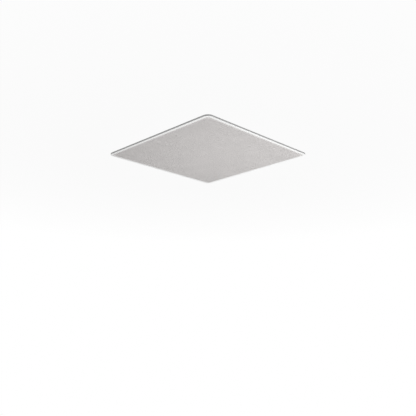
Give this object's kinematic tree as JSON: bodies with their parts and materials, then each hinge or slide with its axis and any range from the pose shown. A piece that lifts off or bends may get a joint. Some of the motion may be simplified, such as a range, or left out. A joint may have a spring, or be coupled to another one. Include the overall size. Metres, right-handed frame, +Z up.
{
  "type": "ceiling speaker",
  "caption": "Square flush in-ceiling loudspeaker: white moulded frame, pale grey perforated magnetic grille, woofer with pivoting tweeter, crossover and swing-out clamps.",
  "frame": {"origin": "middle of the frame on the underside of the ceiling, in the plane of the flange's back face", "axes": "+Z up into the ceiling, out of the flange's back face; +X towards the spring terminals; the grille faces -Z"},
  "size_m": [0.236, 0.236, 0.1109],
  "materials": {
    "white_plastic": "fine satin moulding",
    "grille_paint": "matt powder coat",
    "scrim_cloth": "grey scrim weave",
    "nickel": "nickel plate",
    "foam": "closed-cell foam",
    "black_casting": "black powder coat",
    "black_rubber": "smooth rubber",
    "spider_cloth": "resin-stiffened cloth",
    "cone_plastic": "matt polypropylene",
    "former_foil": "foil",
    "copper": "enamelled copper wire",
    "zinc_steel": "zinc plate",
    "ferrite": "sintered ferrite",
    "black_screw": "black oxide",
    "black_plastic": "fine matt moulding",
    "silk": "coated silk",
    "circuit_board": "green solder mask",
    "yellow_film": "cast film box",
    "can_sleeve": "shrink sleeve",
    "cement": "white cement",
    "red_plastic": "moulded",
    "clamp_steel": "zinc plate",
    "clamp_plastic": "glass-filled nylon"
  },
  "bodies": {
    "frame": {"frame": "white_plastic", "grille_magnets": "nickel", "woofer_gasket": "foam", "woofer_basket": "black_casting", "woofer_surround": "black_rubber", "woofer_spider": "spider_cloth", "woofer_top_plate": "zinc_steel", "woofer_magnet": "ferrite", "woofer_yoke": "zinc_steel", "woofer_screws": "black_screw", "tweeter_bridge": "black_plastic", "bridge_screws": "black_screw", "crossover_tray": "black_plastic", "tray_screw": "zinc_steel", "crossover_board": "circuit_board", "board_screws": "zinc_steel", "inductor_bobbin": "black_plastic", "inductor_winding": "copper", "drum_inductor": "ferrite", "film_capacitor": "yellow_film", "can_capacitor": "can_sleeve", "power_resistor": "cement", "terminal_block": "black_plastic"},
    "grille": {"grille": "grille_paint", "grille_scrim": "scrim_cloth"},
    "cone": {"woofer_cone": "cone_plastic", "woofer_dust_cap": "cone_plastic", "woofer_former": "former_foil", "woofer_coil": "copper"},
    "tweeter": {"tweeter_cup": "black_plastic", "tweeter_faceplate": "black_plastic", "tweeter_dome": "silk", "tweeter_coil": "copper", "tweeter_pole_plate": "zinc_steel", "tweeter_magnet": "ferrite", "tweeter_yoke": "zinc_steel"},
    "button_red": {"terminal_button_red": "red_plastic"},
    "button_black": {"terminal_button_black": "black_plastic"},
    "clamp_screw_1": {"clamp_screw_1": "clamp_steel"},
    "clamp_leg_1": {"clamp_leg_1": "clamp_plastic"},
    "clamp_screw_2": {"clamp_screw_2": "clamp_steel"},
    "clamp_leg_2": {"clamp_leg_2": "clamp_plastic"},
    "clamp_screw_3": {"clamp_screw_3": "clamp_steel"},
    "clamp_leg_3": {"clamp_leg_3": "clamp_plastic"},
    "clamp_screw_4": {"clamp_screw_4": "clamp_steel"},
    "clamp_leg_4": {"clamp_leg_4": "clamp_plastic"}
  },
  "joints": [
    {"name": "grille_pull", "type": "slide", "parent": "frame", "child": "grille", "axis": [0, 0, -1], "range_m": [0, 0.06]},
    {"name": "cone_travel", "type": "slide", "parent": "frame", "child": "cone", "axis": [0, 0, -1], "range_m": [-0.004, 0.004], "stiffness_N_per_m": 1200, "deforming": ["woofer_surround", "woofer_spider"]},
    {"name": "tweeter_tilt", "type": "hinge", "parent": "frame", "child": "tweeter", "pos_m": [0, 0, 0.0082], "axis": [1, 0, 0], "range_deg": [-15, 15]},
    {"name": "button_red_press", "type": "slide", "parent": "frame", "child": "button_red", "axis": [-1, 0, 0], "range_m": [0, 0.003], "stiffness_N_per_m": 600},
    {"name": "button_black_press", "type": "slide", "parent": "frame", "child": "button_black", "axis": [-1, 0, 0], "range_m": [0, 0.003], "stiffness_N_per_m": 600},
    {"name": "clamp_turn_1", "type": "hinge", "parent": "frame", "child": "clamp_screw_1", "pos_m": [0.0865, 0.0865, 0], "axis": [0, 0, 1], "range_deg": [0, 90]},
    {"name": "clamp_run_1", "type": "slide", "parent": "clamp_screw_1", "child": "clamp_leg_1", "axis": [0, 0, -1], "range_m": [0, 0.028]},
    {"name": "clamp_turn_2", "type": "hinge", "parent": "frame", "child": "clamp_screw_2", "pos_m": [-0.0865, 0.0865, 0], "axis": [0, 0, 1], "range_deg": [0, 90]},
    {"name": "clamp_run_2", "type": "slide", "parent": "clamp_screw_2", "child": "clamp_leg_2", "axis": [0, 0, -1], "range_m": [0, 0.028]},
    {"name": "clamp_turn_3", "type": "hinge", "parent": "frame", "child": "clamp_screw_3", "pos_m": [-0.0865, -0.0865, 0], "axis": [0, 0, 1], "range_deg": [0, 90]},
    {"name": "clamp_run_3", "type": "slide", "parent": "clamp_screw_3", "child": "clamp_leg_3", "axis": [0, 0, -1], "range_m": [0, 0.028]},
    {"name": "clamp_turn_4", "type": "hinge", "parent": "frame", "child": "clamp_screw_4", "pos_m": [0.0865, -0.0865, 0], "axis": [0, 0, 1], "range_deg": [0, 90]},
    {"name": "clamp_run_4", "type": "slide", "parent": "clamp_screw_4", "child": "clamp_leg_4", "axis": [0, 0, -1], "range_m": [0, 0.028]}
  ]
}
